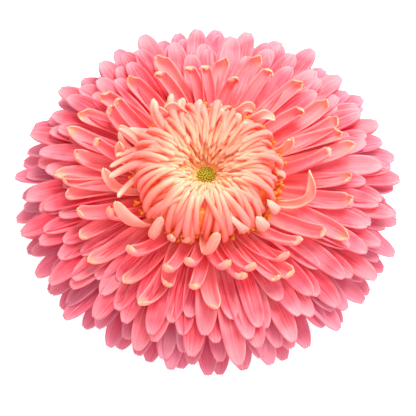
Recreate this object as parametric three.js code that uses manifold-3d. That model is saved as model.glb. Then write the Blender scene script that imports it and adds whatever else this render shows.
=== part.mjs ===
// A double china aster, picked with a short stub of stem and lying face up.
// Millimetres, +Z up out of the bloom's face. The origin is under the middle of the bloom's outline, on the
// surface it rests on. The bloom's own axis stands a little to one side of it, because its rays are uneven.
import * as THREE from "three";
import { mergeVertices } from "three/addons/utils/BufferGeometryUtils.js";
import Module from "manifold-3d";

const wasm = await Module();
wasm.setup();

// Florets leave the receptacle one after another, each turned from the last by the golden angle.
const GOLDEN_ANGLE = 180 * (3 - Math.sqrt(5));
const BLADE_THICKNESS = 0.6;
// Steps round the axis in what is turned about it, and how far off one plane faces may lie and still be joined.
const ROUND_STEPS = { stem: 16, collar: 20, disc: 24, core: 16, eye: 12 };
const FLATNESS = 0.06;

// Ray florets of the two lower tiers. Each pair runs from a tier's first floret to its last:
// radius and height of the root and of the tip, slope of the spine at both ends in degrees, and width.
const RAY_TIERS = [
  {
    node: "outer_rays",
    colour: 0xe58ba4,
    florets: 55,
    disc: [8.5, 10.6],
    rootRadius: [11, 11],
    rootHeight: [9.2, 10.3],
    tipRadius: [43.5, 46.8],
    tipHeight: [0, 6.2],
    rootSlope: [4, 8],
    tipSlope: [-34, -18],
    width: [6.1, 6.0],
  },
  {
    node: "middle_rays",
    colour: 0xf4788c,
    florets: 55,
    disc: [11.0, 13.1],
    rootRadius: [10.5, 10.5],
    rootHeight: [11.9, 12.6],
    tipRadius: [46.4, 38.5],
    tipHeight: [8.2, 11.7],
    rootSlope: [8, 7],
    tipSlope: [-18, -10],
    width: [6.1, 5.8],
  },
];
const DISC_RADIUS = 12.5;
const RAY_HANDLE = 0.38;
// The whole bloom reaches a little further to one side than to the other.
const LEAN = { direction: 50, reach: 1.1 };
const RAY_SEED = 1907;
const RAY_SPREAD = { turn: 1.5, reach: 0.8, height: 0.35, slope: 6, sweep: 2, twist: 6, width: 0.06 };

// Ray florets of the top tier, placed where the photo shows their cream tips: turn of the tip in degrees,
// reach, and how far the floret sweeps round the axis on its way. The shorter one is, the higher its tip stands
// and the more it hooks up and back, from the first list value to the last. They vary more than the lower rays.
const INNER_TIER = {
  node: "inner_rays",
  colour: 0xf8806f,
  disc: [13.4, 15.5],
  root: [10, 14.6],
  rootSlope: 13,
  reach: [37.5, 24],
  tipHeight: [15.1, 16.9, 18.4, 19.8, 21.0],
  tipSlope: [20, 68, 106, 122, 132],
  tipHandle: [0.2, 0.12, 0.16, 0.22, 0.28],
  width: [5.5, 5.4, 5.2, 4.9, 4.4],
  loose: 3,
  florets: [
    [3, 34.5, 4], [13, 27.4, 9], [15, 35.6, 5], [20, 32.9, -4], [28, 34, 6], [36, 27.6, -6], [38, 34.6, 3],
    [49, 32.7, -5], [60, 30, -6], [67, 35, -8], [74, 25.4, -7], [82, 33, -5], [91, 26.4, 5], [100, 26.4, 10],
    [107, 34.5, 5], [115, 27.4, 11], [126, 33.5, 6], [136, 27.7, -6], [139, 33, 4], [144, 29, -7],
    [150, 35.3, 5], [156, 36, -4], [159, 27.3, -9], [168, 32.5, -5], [177, 36.6, 3], [182, 34, -4],
    [189, 34.4, 5], [197, 31.5, -7], [204, 25, -10], [208, 34, 4], [217, 36, -4], [226, 27.3, -16],
    [237, 34.5, -5], [245, 36.4, -6], [247, 26.7, -10], [253, 30.7, 3], [260, 25, -9], [267, 29.1, -4],
    [275, 34.5, 7], [283, 25.2, 13], [289, 28.5, 12], [297, 26.4, 14], [303, 31, 8], [310, 32.4, 10],
    [313, 28.3, 14], [320, 27.4, 12], [331, 30.6, 6], [337, 37, -3], [353, 34.5, 6],
  ],
};

// Quilled florets of the cushion: each rises off the receptacle, bulges outwards and arches back in.
// Each list runs from the youngest quill, at the eye, to the oldest, at the cushion's edge.
const QUILLS = {
  florets: 90,
  rootRadius: [3.6, 5.6, 9.0, 13.8],
  rootHeight: [16.8, 17.4, 17.8, 17.4],
  tipRadius: [3.7, 4.5, 6.4, 9.4],
  tipHeight: [18.4, 20.0, 22.4, 24.2],
  rootSlope: [80, 62, 48, 34],
  tipSlope: [150, 186, 194, 198],
  rootHandle: [0.6, 2.0, 4.2, 7.0],
  tipHandle: [0.6, 3.0, 6.0, 9.2],
  width: [1.0, 1.2, 1.6, 1.9],
};
const QUILL_SEED = 433;
const QUILL_SPREAD = { turn: 4, reach: 0.8, height: 0.45, slope: 9, sweep: 13, width: 0.12 };
const QUILL_CORE = [
  [0, 15.8], [12.2, 15.8], [14.8, 17.0], [15.6, 19.4], [15.0, 21.6], [12.8, 22.9],
  [9.8, 22.0], [6.2, 19.8], [3.4, 17.5], [3.1, 16.5], [0, 16.5],
];

// Curled florets round the cushion's edge, placed where the photo shows them: half quill and half strap, they
// stand up, roll over or reach back in. Slopes and handles are those at the root and at the tip, and the tip is
// given by its radius and height. The first one curls up and back like a sickle.
const CURLED_ROOT = [13.2, 18.1];
const CURLED_FLORETS = [
  { turn: 334, sweep: 24, twist: 70, slopes: [-14, 128], tip: [24.2, 22.0], handles: [8, 7], width: 3.0 },
  { turn: 17, sweep: 4, twist: 60, slopes: [4, 84], tip: [21.4, 22.4], handles: [6, 3], width: 3.2 },
  { turn: 353, sweep: 4, twist: 0, slopes: [10, 168], tip: [16.0, 22.4], handles: [7, 4], width: 2.6 },
  { turn: 326, sweep: 2, twist: 0, slopes: [2, 158], tip: [16.8, 22.6], handles: [9, 5], width: 3.2 },
  { turn: 313, sweep: -2, twist: 0, slopes: [0, 150], tip: [17.8, 22.8], handles: [10, 5], width: 4.4 },
  { turn: 302, sweep: -10, twist: 10, slopes: [10, 176], tip: [14.8, 24.0], handles: [8, 6], width: 2.6 },
  { turn: 267, sweep: 12, twist: 0, slopes: [0, 122], tip: [19.2, 25.2], handles: [12, 6], width: 3.6 },
  { turn: 251, sweep: 8, twist: 0, slopes: [0, 130], tip: [18.4, 21.0], handles: [6, 3], width: 2.4 },
  { turn: 242, sweep: 6, twist: 0, slopes: [-4, 120], tip: [19.6, 21.6], handles: [6, 3], width: 2.6 },
  { turn: 233, sweep: 3, twist: 15, slopes: [0, 126], tip: [18.0, 25.2], handles: [13, 6], width: 4.2 },
  { turn: 229, sweep: -23, twist: 75, slopes: [-4, 84], tip: [23.4, 24.2], handles: [10, 5], width: 4.8 },
  { turn: 198, sweep: -17, twist: -45, slopes: [0, 76], tip: [24.0, 22.4], handles: [7, 4], width: 3.0 },
  { turn: 182, sweep: -10, twist: 35, slopes: [6, 128], tip: [16.8, 23.4], handles: [7, 3], width: 2.0 },
  { turn: 173, sweep: -9, twist: -55, slopes: [4, 96], tip: [21.0, 24.0], handles: [8, 4], width: 3.0 },
  { turn: 158, sweep: -4, twist: 0, slopes: [50, -10], tip: [22.8, 23.2], handles: [7, 4], width: 2.8 },
  { turn: 121, sweep: 12, twist: -60, slopes: [62, -80], tip: [18.0, 21.6], handles: [7, 4], width: 3.2 },
  { turn: 102, sweep: 22, twist: -60, slopes: [64, -30], tip: [17.6, 24.0], handles: [7, 4], width: 3.2 },
  { turn: 69, sweep: -17, twist: 60, slopes: [64, -60], tip: [18.6, 22.4], handles: [7, 4], width: 3.2 },
  { turn: 53, sweep: -15, twist: 60, slopes: [58, -60], tip: [20.6, 21.4], handles: [7, 4], width: 3.2 },
];

// Blades are drawn by rules. An outline gives the share of the width at the root, where it is widest, and how
// blunt the end is. A roll is half the arc that the blade makes across its midline, in degrees, at shares of
// its length. The top tier's florets go from straps to boats with rolled, blunt ends as they get shorter.
const RAY_OUTLINE = { claw: 0.2, widest: 0.74, taper: 2.6 };
const RAY_ROLL = [[0, 24], [0.42, 40], [0.8, 38], [1, 24]];
const STRAP_OUTLINE = { claw: 0.24, widest: 0.72, taper: 3.4 };
const BOAT_OUTLINE = { claw: 0.3, widest: 0.66, taper: 4.6 };
const INNER_ROLL_SHARES = [0, 0.45, 0.82, 1];
const STRAP_ROLL = [24, 50, 70, 100];
const BOAT_ROLL = [30, 72, 108, 124];
const BRACT_OUTLINE = { claw: 0.5, widest: 0.65, taper: 1.9 };
const BRACT_ROLL = [[0, 16], [0.65, 24], [1, 12]];

// Shares of a spine's length at which a floret has its rings. Its tip closes to a point.
const RAY_RINGS = [0, 0.42, 0.8, 0.95];
const INNER_RINGS = [0, 0.42, 0.72, 0.87, 0.96];
const CURLED_RINGS = [0.2, 0.5, 0.76, 0.94];
const BRACT_RINGS = [0, 0.65, 0.93];

const EYE = { radius: 2.6, height: 16.9, crown: 1.0, buds: 18, budRadius: 0.5 };

// Green parts: the stub of stem with the receptacle's cup, and two rows of leafy bracts round it.
const STEM_PROFILE = [
  [0, 0], [2.3, 0], [2.1, 1.2], [2.2, 3.2], [3.2, 4.9], [5.8, 6.1], [8.4, 6.9], [8.9, 8.2], [0, 8.2],
];
const BRACT_COLLAR = [[9.35, 6.9], [10.8, 7.0], [11.2, 8.1], [9.35, 8.2]];
const BRACT_ROOT = { radius: 9.8, slope: -4, handle: 4 };
const BRACT_ROWS = [
  { count: 10, offset: 9, rootHeight: 7.3, tipRadius: 21.5, tipHeight: 3.5, droop: -32, width: 5.2 },
  { count: 9, offset: 27, rootHeight: 7.7, tipRadius: 18.0, tipHeight: 6.3, droop: -14, width: 4.0 },
];

// Repeatable draws: a seed always draws the same florets. Each draw lies within the spread given.
function drawsFrom(seed) {
  const modulus = 2147483647;
  const multiplier = 16807;
  let state = seed;
  return (spread) => {
    state = (state * multiplier) % modulus;
    return spread * ((2 * state) / modulus - 1);
  };
}

// The value that a table of [share, value] pairs holds at a share.
function atShare(table, share) {
  const after = Math.max(1, table.findIndex(([end]) => end >= share));
  const [[start, low], [end, high]] = [table[after - 1], table[after]];
  return THREE.MathUtils.mapLinear(share, start, end, low, high);
}

// The value a share of the way along a list of evenly spaced values.
function along(values, share) {
  const place = share * (values.length - 1);
  const before = Math.min(Math.floor(place), values.length - 2);
  return THREE.MathUtils.lerp(values[before], values[before + 1], place - before);
}

function slopeVector(degrees, length) {
  const angle = THREE.MathUtils.degToRad(degrees);
  return new THREE.Vector2(length * Math.cos(angle), length * Math.sin(angle));
}

// A floret's spine, drawn in the upright plane through the bloom's axis: x is the radius and y the height.
function spineCurve({ root, tip, rootSlope, tipSlope, rootHandle, tipHandle }) {
  return new THREE.CubicBezierCurve(
    root,
    root.clone().add(slopeVector(rootSlope, rootHandle)),
    tip.clone().sub(slopeVector(tipSlope, tipHandle)),
    tip,
  );
}

const TANGENT_STEP = 0.01;

// The spine's point at one share of its length, and the way out of the floret's face there.
function spinePoint(floret, share) {
  const flat = floret.spine.getPointAt(share);
  const slope = floret.spine.getTangentAt(share);
  const turn = THREE.MathUtils.degToRad(floret.turn + floret.sweep * share * share);
  const outward = new THREE.Vector3(Math.cos(turn), Math.sin(turn), 0);
  const face = new THREE.Vector3(0, 0, slope.x).addScaledVector(outward, -slope.y);
  return { centre: outward.multiplyScalar(flat.x).setZ(flat.y), face };
}

// Where a spine stands at one share of its length, with the directions across it and out of its face.
function stationAt(floret, share) {
  const { centre, face } = spinePoint(floret, share);
  const ahead = spinePoint(floret, Math.min(1, share + TANGENT_STEP)).centre;
  const behind = spinePoint(floret, Math.max(0, share - TANGENT_STEP)).centre;
  const forward = ahead.sub(behind).normalize();
  const across = face.cross(forward).normalize();
  across.applyAxisAngle(forward, THREE.MathUtils.degToRad(floret.twist * share));
  return { centre, across, up: forward.clone().cross(across) };
}

function offsetPoint({ centre, across, up }, sideways, raised) {
  return centre.clone().addScaledVector(across, sideways).addScaledVector(up, raised);
}

// A closed skin over rings of points, with a flat root and a pointed tip.
function skin(rings, tip) {
  const sides = rings[0].length;
  const points = rings.flat().concat([tip]);
  const faces = [];
  for (let side = 2; side < sides; side++) faces.push(0, side, side - 1);
  for (let ring = 0; ring < rings.length; ring++) {
    for (let side = 0; side < sides; side++) {
      const here = ring * sides + side;
      const beside = ring * sides + ((side + 1) % sides);
      if (ring === rings.length - 1) faces.push(here, beside, points.length - 1);
      else faces.push(here, beside, here + sides, beside, beside + sides, here + sides);
    }
  }
  return new THREE.BufferGeometry().setFromPoints(points).setIndex(faces);
}

const TIP_OPENING = 0.97;
const TIP_BLUNTNESS = 0.6;

// Share of the full width at a share of the length: out from the claw, and in again to a blunt tip.
function fullness({ claw, widest, taper }, share) {
  if (share <= widest) return claw + (1 - claw) * Math.sin(((Math.PI / 2) * share) / widest) ** 2;
  const beyond = (share - widest) / (1 - widest);
  return (1 - (TIP_OPENING * beyond) ** taper) ** TIP_BLUNTNESS;
}

// A blade: a gutter, thickest along its midline and rolled across to an arc, whose end narrows to the tip.
function bladeGeometry(floret) {
  const rings = floret.rings.map((share) => {
    const station = stationAt(floret, share);
    const half = (fullness(floret.outline, share) * floret.width) / 2;
    const roll = THREE.MathUtils.degToRad(atShare(floret.roll, share));
    const sideways = (half * Math.sin(roll)) / roll;
    const raised = (half * (1 - Math.cos(roll))) / roll;
    return [
      offsetPoint(station, sideways, raised),
      offsetPoint(station, 0, 0),
      offsetPoint(station, -sideways, raised),
      offsetPoint(station, 0, -BLADE_THICKNESS),
    ];
  });
  return skin(rings, stationAt(floret, 1).centre);
}

// Share of the length and share of the width at each ring of a quill, and how far half its width the flanks
// stand above its midline and the ridge below.
const QUILL_RINGS = [[0, 0.7], [0.36, 0.88], [0.64, 1], [0.92, 0.86]];
const QUILL_SECTION = { flank: 0.3, ridge: 0.9 };

// A quill: three sides, with the ridge on the outside of its arch.
function quillGeometry(floret) {
  const rings = QUILL_RINGS.map(([share, full]) => {
    const station = stationAt(floret, share);
    const half = (full * floret.width) / 2;
    return [
      offsetPoint(station, half, half * QUILL_SECTION.flank),
      offsetPoint(station, -half, half * QUILL_SECTION.flank),
      offsetPoint(station, 0, -half * QUILL_SECTION.ridge),
    ];
  });
  return skin(rings, stationAt(floret, 1).centre);
}

function solidOf(geometry) {
  const bare = geometry.clone();
  bare.deleteAttribute("normal");
  bare.deleteAttribute("uv");
  const merged = mergeVertices(bare, 1e-4);
  return new wasm.Manifold(
    new wasm.Mesh({
      numProp: 3,
      vertProperties: merged.attributes.position.array,
      triVerts: new Uint32Array(merged.index.array),
    }),
  );
}

// One closed geometry out of many that cross each other.
function fuse(geometries) {
  const fused = wasm.Manifold.union(geometries.map(solidOf)).simplify(FLATNESS);
  const largest = fused.decompose().sort((a, b) => b.volume() - a.volume())[0];
  const { vertProperties, triVerts } = largest.getMesh();
  const geometry = new THREE.BufferGeometry();
  geometry.setAttribute("position", new THREE.BufferAttribute(vertProperties, 3));
  return geometry.setIndex(new THREE.BufferAttribute(triVerts, 1));
}

// Turns a profile of radius and height about the bloom's axis.
function turned(profile, segments) {
  const points = profile.map(([radius, height]) => new THREE.Vector2(radius, height));
  return new THREE.LatheGeometry(points, segments).rotateX(Math.PI / 2);
}

function tierDisc([bottom, top]) {
  const profile = [[0, bottom], [DISC_RADIUS, bottom], [DISC_RADIUS, top], [0, top]];
  return turned(profile, ROUND_STEPS.disc);
}

// A ray with its own draws. What is given last replaces the plain ray's form.
function rayFloret({ root, tip, rootSlope, tipSlope, turn, sweep, width, ...form }, draw) {
  const { tipHandle = RAY_HANDLE, loose = 1 } = form;
  const span = root.distanceTo(tip);
  const lean = LEAN.reach * Math.cos(THREE.MathUtils.degToRad(turn - LEAN.direction));
  const reach = tip.x + lean + draw(RAY_SPREAD.reach);
  const height = Math.max(0, tip.y + draw(RAY_SPREAD.height));
  return {
    spine: spineCurve({
      root,
      tip: new THREE.Vector2(reach, height),
      rootSlope,
      tipSlope: tipSlope + loose * draw(RAY_SPREAD.slope),
      rootHandle: RAY_HANDLE * span,
      tipHandle: tipHandle * span,
    }),
    turn: turn + draw(RAY_SPREAD.turn),
    sweep: sweep + draw(RAY_SPREAD.sweep),
    twist: loose * draw(RAY_SPREAD.twist),
    width: width * (1 + draw(RAY_SPREAD.width)),
    rings: RAY_RINGS,
    outline: RAY_OUTLINE,
    roll: RAY_ROLL,
    ...form,
  };
}

// A lower tier: its florets follow each other round the receptacle by the golden angle.
function spiralTier(tier, firstFloret, draw) {
  const pieces = [tierDisc(tier.disc)];
  for (let i = 0; i < tier.florets; i++) {
    const share = i / (tier.florets - 1);
    const pick = (name) => along(tier[name], share);
    const floret = {
      root: new THREE.Vector2(pick("rootRadius"), pick("rootHeight")),
      tip: new THREE.Vector2(pick("tipRadius"), pick("tipHeight")),
      rootSlope: pick("rootSlope"),
      tipSlope: pick("tipSlope"),
      turn: (firstFloret + i) * GOLDEN_ANGLE,
      sweep: 0,
      width: pick("width"),
    };
    pieces.push(bladeGeometry(rayFloret(floret, draw)));
  }
  return fuse(pieces);
}

// The outline and roll of a top tier floret, a share of the way from a strap to a boat.
function innerForm(share) {
  const mix = (strap, boat) => THREE.MathUtils.lerp(strap, boat, share);
  const outline = {};
  for (const name of Object.keys(STRAP_OUTLINE)) outline[name] = mix(STRAP_OUTLINE[name], BOAT_OUTLINE[name]);
  const roll = INNER_ROLL_SHARES.map((place, i) => [place, mix(STRAP_ROLL[i], BOAT_ROLL[i])]);
  return { outline, roll, rings: INNER_RINGS };
}

function innerTier(draw) {
  const { disc, root, rootSlope, reach, loose, florets } = INNER_TIER;
  const pieces = [tierDisc(disc)];
  for (const [tipTurn, tipRadius, sweep] of florets) {
    const share = THREE.MathUtils.inverseLerp(reach[0], reach[1], tipRadius);
    const pick = (name) => along(INNER_TIER[name], share);
    const floret = {
      root: new THREE.Vector2(...root),
      tip: new THREE.Vector2(tipRadius, pick("tipHeight")),
      rootSlope,
      tipSlope: pick("tipSlope"),
      tipHandle: pick("tipHandle"),
      turn: tipTurn - sweep,
      sweep,
      width: pick("width"),
      loose,
      ...innerForm(share),
    };
    pieces.push(bladeGeometry(rayFloret(floret, draw)));
  }
  return fuse(pieces);
}

// A quill: the younger it is, the less room it has to stray.
function quill(index, draw) {
  const share = Math.sqrt((index + 0.5) / QUILLS.florets);
  const pick = (name) => along(QUILLS[name], share);
  return {
    spine: spineCurve({
      root: new THREE.Vector2(pick("rootRadius"), pick("rootHeight")),
      tip: new THREE.Vector2(
        pick("tipRadius") + share * draw(QUILL_SPREAD.reach),
        pick("tipHeight") + draw(QUILL_SPREAD.height),
      ),
      rootSlope: pick("rootSlope"),
      tipSlope: pick("tipSlope") + draw(QUILL_SPREAD.slope),
      rootHandle: pick("rootHandle"),
      tipHandle: pick("tipHandle"),
    }),
    turn: index * GOLDEN_ANGLE + draw(QUILL_SPREAD.turn),
    sweep: draw(QUILL_SPREAD.sweep),
    twist: 0,
    width: pick("width") * (1 + draw(QUILL_SPREAD.width)),
  };
}

function curledFloret({ slopes, tip, handles, ...form }) {
  return {
    spine: spineCurve({
      root: new THREE.Vector2(...CURLED_ROOT),
      tip: new THREE.Vector2(...tip),
      rootSlope: slopes[0],
      tipSlope: slopes[1],
      rootHandle: handles[0],
      tipHandle: handles[1],
    }),
    rings: CURLED_RINGS,
    outline: RAY_OUTLINE,
    roll: RAY_ROLL,
    ...form,
  };
}

function quilledCushion() {
  const draw = drawsFrom(QUILL_SEED);
  const pieces = [turned(QUILL_CORE, ROUND_STEPS.core)];
  for (let i = 0; i < QUILLS.florets; i++) pieces.push(quillGeometry(quill(i, draw)));
  for (const floret of CURLED_FLORETS) pieces.push(bladeGeometry(curledFloret(floret)));
  return fuse(pieces);
}

function eye() {
  const dome = [[0, EYE.height], [EYE.radius, EYE.height], [EYE.radius * 0.8, EYE.height + EYE.crown * 0.6],
    [0, EYE.height + EYE.crown]];
  const pieces = [turned(dome, ROUND_STEPS.eye)];
  for (let i = 0; i < EYE.buds; i++) {
    const share = Math.sqrt((i + 0.5) / EYE.buds);
    const radius = (EYE.radius - EYE.budRadius) * share;
    const height = EYE.height + EYE.crown * (1 - 0.6 * share * share);
    const turn = THREE.MathUtils.degToRad(i * GOLDEN_ANGLE);
    const bud = new THREE.OctahedronGeometry(EYE.budRadius);
    pieces.push(bud.translate(radius * Math.cos(turn), radius * Math.sin(turn), height));
  }
  return fuse(pieces);
}

function bracts() {
  const collar = BRACT_COLLAR.concat([BRACT_COLLAR[0]]);
  const pieces = [turned(collar, ROUND_STEPS.collar)];
  for (const row of BRACT_ROWS) {
    for (let i = 0; i < row.count; i++) {
      const floret = {
        spine: spineCurve({
          root: new THREE.Vector2(BRACT_ROOT.radius, row.rootHeight),
          tip: new THREE.Vector2(row.tipRadius, row.tipHeight),
          rootSlope: BRACT_ROOT.slope,
          tipSlope: row.droop,
          rootHandle: BRACT_ROOT.handle,
          tipHandle: BRACT_ROOT.handle,
        }),
        turn: row.offset + (i * 360) / row.count,
        sweep: 0,
        twist: 0,
        width: row.width,
        rings: BRACT_RINGS,
        outline: BRACT_OUTLINE,
        roll: BRACT_ROLL,
      };
      pieces.push(bladeGeometry(floret));
    }
  }
  return fuse(pieces);
}

function material(colour) {
  return new THREE.MeshStandardMaterial({ color: colour, roughness: 0.6, metalness: 0 });
}

function part(name, geometry, colour) {
  const mesh = new THREE.Mesh(geometry, material(colour));
  mesh.name = name;
  return mesh;
}

const bloom = new THREE.Group();
bloom.add(part("stem", turned(STEM_PROFILE, ROUND_STEPS.stem), 0x7f9a48));
bloom.add(part("bracts", bracts(), 0x6c8f3c));

const drawRay = drawsFrom(RAY_SEED);
let florets = 0;
for (const tier of RAY_TIERS) {
  bloom.add(part(tier.node, spiralTier(tier, florets, drawRay), tier.colour));
  florets += tier.florets;
}
bloom.add(part(INNER_TIER.node, innerTier(drawRay), INNER_TIER.colour));
bloom.add(part("quilled_florets", quilledCushion(), 0xffb48c));
bloom.add(part("eye", eye(), 0xa8b040));

// The bloom is uneven, so it is moved until the middle of its outline stands over the origin.
const middle = new THREE.Box3().setFromObject(bloom, true).getCenter(new THREE.Vector3());
for (const mesh of bloom.children) mesh.geometry.translate(-middle.x, -middle.y, 0);

export default bloom;
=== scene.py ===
"""A double china aster bloom, picked with a stub of stem and lying face up."""

import math

import bpy
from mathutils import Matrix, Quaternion, Vector


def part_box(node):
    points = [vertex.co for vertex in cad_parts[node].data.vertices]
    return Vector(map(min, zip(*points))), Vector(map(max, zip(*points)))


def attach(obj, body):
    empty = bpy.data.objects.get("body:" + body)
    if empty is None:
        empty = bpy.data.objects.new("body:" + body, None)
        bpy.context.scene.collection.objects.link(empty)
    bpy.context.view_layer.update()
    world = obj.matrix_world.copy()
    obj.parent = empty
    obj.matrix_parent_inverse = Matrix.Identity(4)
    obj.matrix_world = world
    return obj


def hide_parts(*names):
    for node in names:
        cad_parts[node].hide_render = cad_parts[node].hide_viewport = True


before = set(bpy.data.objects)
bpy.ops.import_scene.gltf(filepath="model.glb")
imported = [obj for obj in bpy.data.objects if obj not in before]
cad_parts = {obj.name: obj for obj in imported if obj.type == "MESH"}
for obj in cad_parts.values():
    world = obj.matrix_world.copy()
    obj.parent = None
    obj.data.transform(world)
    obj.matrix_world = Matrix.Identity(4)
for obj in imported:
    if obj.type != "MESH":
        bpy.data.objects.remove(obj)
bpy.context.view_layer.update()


# Stem: the cut stub that the bloom was picked with, green and ribbed, flaring into the cup under the
# receptacle. It is drawn up from its cut end, which is paler and moist, in rings of (radius, height).
MM = 0.001
stem_low, stem_high = (Vector(corner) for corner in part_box("stem"))
axis_x, axis_y, _ = (stem_low + stem_high) / 2
STEM_SIDES = 72
STEM_CUT_RADIUS = 2.25
STEM_RINGS = [(2.1, 1.2), (2.2, 3.2), (3.2, 4.9), (5.8, 6.1), (8.4, 6.9), (8.8, 8.1)]
STEM_RIBS = {"count": 9, "depth": 0.07}
STEM_CREASE = math.radians(40)
STEM_GREENS = ((0.09, 0.16, 0.03), (0.2, 0.31, 0.08))
STEM_MOTTLE = 300
LEAF_BAND = (0.3, 0.7)
LEAF_CLOUDS = 4
LEAF_RELIEF = {"Strength": 0.4, "Distance": 0.2 * MM}
LEAF_ROUGHNESS = 0.6
MOIST_PITH = {"Base Color": (0.5, 0.56, 0.27, 1), "Roughness": 0.18}
CUT_FACE = {"normal": -0.9, "height": 0.1}


def start_piece():
    """Clears the selection, so that the next operators act on the new piece alone."""
    bpy.ops.object.select_all(action="DESELECT")


def bare_material(name):
    """A material without nodes, and its node tree to build on."""
    material = bpy.data.materials.new(name)
    material.use_nodes = True
    material.node_tree.nodes.clear()
    return material, material.node_tree


def add_node(tree, kind, inputs, output=0, **settings):
    """Adds a shader node whose inputs are values or other nodes' outputs, and returns one of its outputs."""
    node = tree.nodes.new(f"ShaderNode{kind}")
    for setting, value in settings.items():
        setattr(node, setting, value)
    for socket, value in inputs.items():
        if isinstance(value, bpy.types.NodeSocket):
            tree.links.new(value, node.inputs[socket])
        else:
            node.inputs[socket].default_value = value
    return node.outputs[output]


def finish_surface(tree, shader):
    tree.links.new(shader, tree.nodes.new("ShaderNodeOutputMaterial").inputs["Surface"])


def cloudy(tree, scale, detail=2):
    """Cloudy unevenness all over a piece, so many clouds to the metre."""
    place = add_node(tree, "TexCoord", {}, "Object")
    return add_node(tree, "TexNoise", {"Vector": place, "Scale": scale, "Detail": detail}, "Fac")


def colour_ramp(tree, value, stops):
    """Colours along a value, from pairs of place and colour."""
    colour = add_node(tree, "ValToRGB", {"Fac": value}, "Color")
    elements = colour.node.color_ramp.elements
    while len(elements) < len(stops):
        elements.new(0.5)
    for element, (place, shade) in zip(elements, stops):
        element.position = place
        element.color = (*shade, 1)
    return colour


def leafy_green(name, shades, scale, sheen=0.3):
    """A green mottled between a dark and a light shade, matt or with a faint sheen."""
    material, tree = bare_material(name)
    mottle = cloudy(tree, scale, LEAF_CLOUDS)
    green = colour_ramp(tree, mottle, list(zip(LEAF_BAND, shades)))
    normal = add_node(tree, "Bump", {"Height": mottle, **LEAF_RELIEF})
    skin = {"Base Color": green, "Normal": normal, "Roughness": LEAF_ROUGHNESS, "Sheen Weight": sheen}
    finish_surface(tree, add_node(tree, "BsdfPrincipled", skin))
    return material


def moist_cut():
    material, tree = bare_material("moist_cut")
    finish_surface(tree, add_node(tree, "BsdfPrincipled", MOIST_PITH))
    return material


def dress(piece, node, *materials):
    """Gives a finished piece its materials and lets it stand for a node of the solid model."""
    piece.data.materials.clear()
    for material in materials:
        piece.data.materials.append(material)
    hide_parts(node)
    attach(piece, "root")


start_piece()
bpy.ops.mesh.primitive_circle_add(
    vertices=STEM_SIDES, radius=STEM_CUT_RADIUS * MM, fill_type="NGON", location=(axis_x, axis_y, 0)
)
stem = bpy.context.object
stem.name = "stem_stub"
bpy.ops.object.mode_set(mode="EDIT")
bpy.ops.mesh.select_all(action="SELECT")
radius, height = STEM_CUT_RADIUS, 0
for next_radius, next_height in STEM_RINGS:
    rise = (0, 0, (next_height - height) * MM)
    bpy.ops.mesh.extrude_region_move(TRANSFORM_OT_translate={"value": rise})
    swell = next_radius / radius
    bpy.ops.transform.resize(value=(swell, swell, 1), center_override=(axis_x, axis_y, next_height * MM))
    radius, height = next_radius, next_height
bpy.ops.mesh.select_all(action="SELECT")
bpy.ops.mesh.normals_make_consistent(inside=False)
bpy.ops.object.mode_set(mode="OBJECT")
for vertex in stem.data.vertices:
    turn = math.atan2(vertex.co.y, vertex.co.x)
    dip = STEM_RIBS["depth"] * (0.5 - 0.5 * math.cos(STEM_RIBS["count"] * turn))
    vertex.co.x *= 1 - dip
    vertex.co.y *= 1 - dip
bpy.ops.object.transform_apply(location=True)
bpy.ops.object.shade_smooth_by_angle(angle=STEM_CREASE)
dress(stem, "stem", leafy_green("stem_green", STEM_GREENS, STEM_MOTTLE), moist_cut())
for polygon in stem.data.polygons:
    if polygon.normal.z < CUT_FACE["normal"] and polygon.center.z < CUT_FACE["height"] * MM:
        polygon.material_index = 1


# Bracts: the leafy involucre that held the bud, two rows of blunt green leaves spreading from a collar under
# the rays. Each is a thin blade bent along its spine, with a groove on each side of its midrib and a waved
# margin.
BRACT_COLLAR = [(9.3, 7.0), (10.7, 7.1), (11.1, 8.0), (9.3, 8.1)]
COLLAR_SIDES = 48
BRACT_ROOT = {"radius": 9.8, "slope": -4, "handle": 4}
BRACT_ROWS = [
    dict(count=10, offset=9, root_height=7.3, tip_radius=21.5, tip_height=3.5, droop=-32, width=5.2),
    dict(count=9, offset=27, root_height=7.7, tip_radius=18.0, tip_height=6.3, droop=-14, width=4.0),
]
BRACT_GRID = (6, 16)
BRACT_OUTLINE = {"claw": 0.5, "widest": 0.65, "taper": 1.9}
BRACT_ROLL = [(0, 16), (0.65, 24), (1, 12)]
BRACT_RELIEF = {"groove": 0.12, "wave": 0.2, "notch": 0.35}
BRACT_THICKNESS = 0.4
BRACT_GREENS = ((0.05, 0.13, 0.02), (0.15, 0.27, 0.05))
BRACT_MOTTLE = 420
CLAW_SWELL = 1.2
TIP_OPENING = 0.97
TIP_BLUNTNESS = 0.6
SPINE_STEP = 0.01
TRAITS = ("along", "across", "tone")
ROW_CROWDING = 1.5
ROW_DIGITS = 4
GROOVE_SPAN = 0.9
GROOVE_FADE = 4
WAVE_TURN = 9
NOTCH_LENGTH = 0.05
CORNER_CUT = 0.4
RING_CREASE = math.radians(35)
WELD_GAP = 0.01


def at_share(table, share):
    """The value a table of (share, value) pairs holds at a share."""
    for (start, low), (end, high) in zip(table, table[1:]):
        if share <= end:
            return low + (high - low) * max(0, share - start) / (end - start)
    return table[-1][1]


def fullness(outline, share):
    """Share of the full width at a share of the length: out from the claw, and in again to a blunt tip."""
    claw, widest, taper = outline["claw"], outline["widest"], outline["taper"]
    if share <= widest:
        return claw + (1 - claw) * math.sin(math.pi / 2 * share / widest) ** CLAW_SWELL
    beyond = (share - widest) / (1 - widest)
    return (1 - (TIP_OPENING * beyond) ** taper) ** TIP_BLUNTNESS


def slope_step(degrees, length):
    angle = math.radians(degrees)
    return Vector((length * math.cos(angle), length * math.sin(angle)))


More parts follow.
